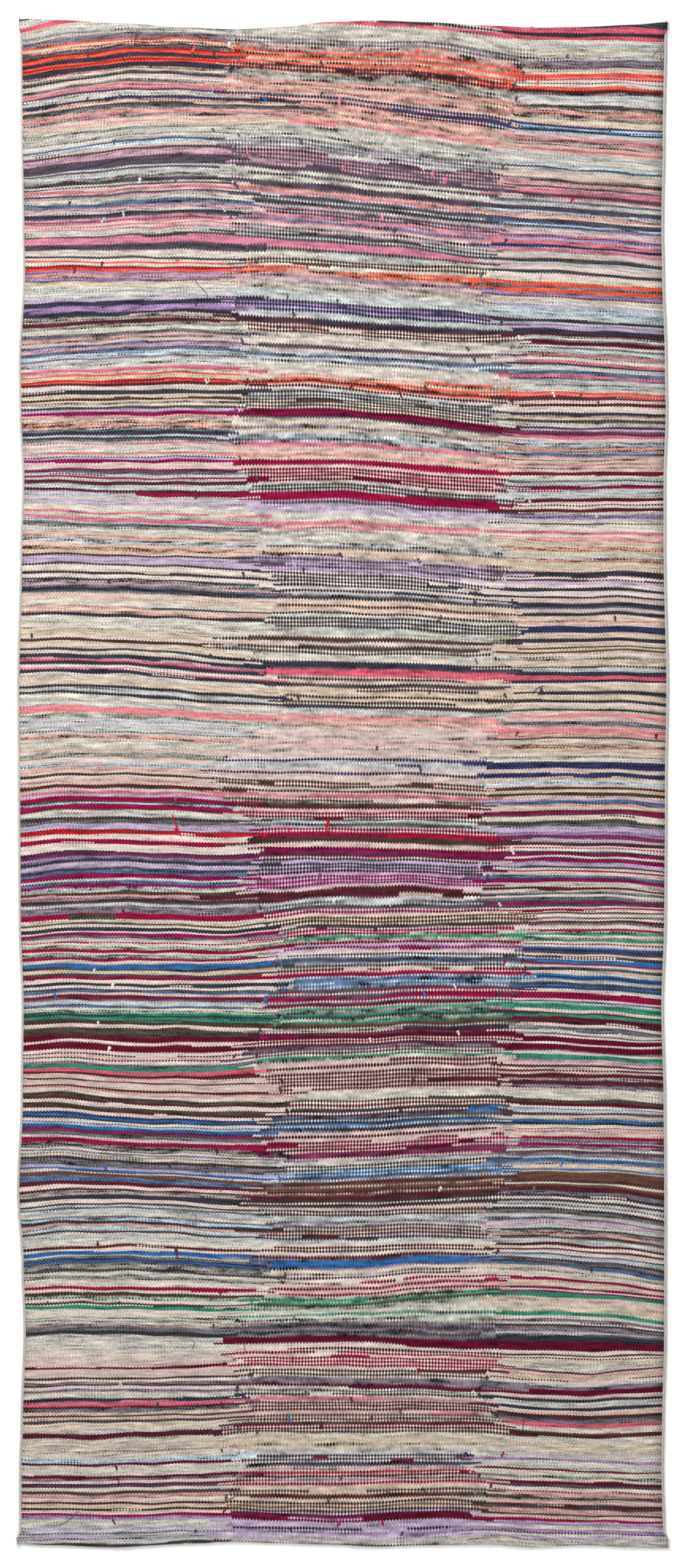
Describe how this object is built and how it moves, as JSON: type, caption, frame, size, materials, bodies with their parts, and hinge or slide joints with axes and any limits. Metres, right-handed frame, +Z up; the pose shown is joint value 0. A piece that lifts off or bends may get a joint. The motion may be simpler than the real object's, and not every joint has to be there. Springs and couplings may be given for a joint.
{
  "type": "kilim runner",
  "caption": "Flat-woven rag runner rug with turned hems at both ends and overcast cord edges, lying flat on a floor.",
  "frame": {"origin": "middle of the runner's footprint, on the floor", "axes": "+X across the runner to the right, +Y along it to the far end (the top of the picture), +Z up from the floor"},
  "size_m": [0.906, 2.123, 0.005],
  "materials": {
    "rag_weft": "matte uneven cotton and wool rag weave in many stripes",
    "overcast_yarn": "matte variegated yarn wrapped closely over the edge cord"
  },
  "bodies": {
    "root": {"woven_cloth": "rag_weft", "edge_cord_left": "overcast_yarn", "edge_cord_right": "overcast_yarn"}
  },
  "joints": []
}
